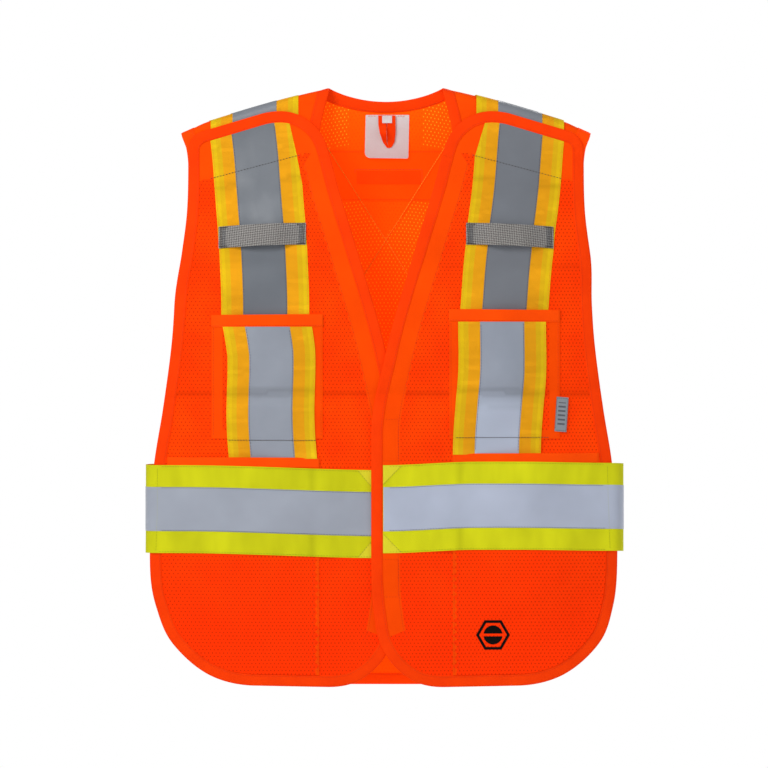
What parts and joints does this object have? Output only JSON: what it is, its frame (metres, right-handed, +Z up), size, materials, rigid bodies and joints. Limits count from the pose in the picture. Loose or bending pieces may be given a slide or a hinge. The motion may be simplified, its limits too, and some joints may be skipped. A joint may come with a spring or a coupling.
{
  "type": "high visibility vest",
  "caption": "Sleeveless V-neck mesh safety vest with bound edges, crossed reflective tape on the back, pockets, and fronts that fasten at the shoulders, sides and centre.",
  "frame": {"origin": "midway between the two neck points, on the top of the shoulder fold and in the middle of the depth", "axes": "+Z up along the closed vest's height, -Y out of the fronts, +X towards the wearer's left"},
  "size_m": [0.5576, 0.1305, 0.6932],
  "materials": {
    "orange_mesh": "open warp-knit polyester mesh, fluorescent orange",
    "orange_binding": "plain-woven polyester binding, slight sheen",
    "orange_cloth": "solid tricot polyester",
    "yellow_tape": "fluorescent lime woven contrast tape",
    "silver_tape": "glass-bead retroreflective strip, satin silver",
    "grey_webbing": "ribbed polyester webbing",
    "hook_strip": "nylon hook tape",
    "loop_strip": "nylon loop tape, fuzzy",
    "white_label": "satin label ribbon",
    "woven_tag": "damask-woven tag",
    "black_print": "matt heat-transfer print"
  },
  "bodies": {
    "back": {"back_panel": "orange_mesh", "neck_binding": "orange_binding", "back_edge_binding": "orange_binding", "back_tape_left": "yellow_tape", "back_tape_right": "yellow_tape", "back_silver_left": "silver_tape", "back_silver_right": "silver_tape", "back_waist_tape": "yellow_tape", "back_waist_silver": "silver_tape", "yoke_patch": "orange_cloth", "yoke_welt": "orange_binding", "shoulder_loop_left": "loop_strip", "shoulder_loop_right": "loop_strip", "side_tab_left": "yellow_tape", "side_tab_right": "yellow_tape", "side_tab_silver_left": "silver_tape", "side_tab_silver_right": "silver_tape", "side_loop_left": "loop_strip", "side_loop_right": "loop_strip", "side_hook_left": "hook_strip", "side_hook_right": "hook_strip"},
    "hang_loop": {"hang_loop": "orange_binding", "size_label": "white_label"},
    "neck_label": {"neck_label": "white_label"},
    "front_left": {"front_panel_left": "orange_mesh", "front_binding_left": "orange_binding", "front_facing_left": "orange_cloth", "shoulder_hook_left": "hook_strip", "chest_tape_left": "yellow_tape", "chest_silver_left": "silver_tape", "mic_strap_left": "grey_webbing", "chest_pocket_left": "orange_mesh", "chest_pocket_binding_left": "orange_binding", "pocket_tape_left": "yellow_tape", "pocket_silver_left": "silver_tape", "lower_pocket_left": "orange_mesh", "lower_pocket_binding_left": "orange_binding", "waist_tape_left": "yellow_tape", "waist_silver_left": "silver_tape", "closure_loop_left": "loop_strip"},
    "front_right": {"front_panel_right": "orange_mesh", "front_binding_right": "orange_binding", "front_facing_right": "orange_cloth", "shoulder_hook_right": "hook_strip", "chest_tape_right": "yellow_tape", "chest_silver_right": "silver_tape", "mic_strap_right": "grey_webbing", "chest_pocket_right": "orange_mesh", "chest_pocket_binding_right": "orange_binding", "pocket_tape_right": "yellow_tape", "pocket_silver_right": "silver_tape", "lower_pocket_right": "orange_mesh", "lower_pocket_binding_right": "orange_binding", "waist_tape_right": "yellow_tape", "waist_silver_right": "silver_tape", "closure_hook_right": "hook_strip", "woven_tag": "woven_tag", "printed_badge": "black_print"}
  },
  "joints": [
    {"name": "front_right_swing", "type": "hinge", "parent": "back", "child": "front_right", "pos_m": [0.2782, -0.001, -0.4853], "axis": [0, 0, 1], "range_deg": [0, 110]},
    {"name": "front_left_swing", "type": "hinge", "parent": "back", "child": "front_left", "pos_m": [-0.2782, -0.001, -0.4853], "axis": [0, 0, -1], "range_deg": [0, 88]},
    {"name": "hang_loop_lift", "type": "hinge", "parent": "back", "child": "hang_loop", "pos_m": [0.001, 0.00955, -0.03], "axis": [-1, 0, 0], "range_deg": [0, 150]},
    {"name": "neck_label_lift", "type": "hinge", "parent": "back", "child": "neck_label", "pos_m": [0.0012, 0.01134, -0.02955], "axis": [-1, 0, 0], "range_deg": [0, 75]}
  ],
  "couplings": [
    {"joint": "front_left_swing", "follows": "front_right_swing", "ratio": 0.8},
    {"joint": "neck_label_lift", "follows": "hang_loop_lift", "ratio": 0.5}
  ]
}
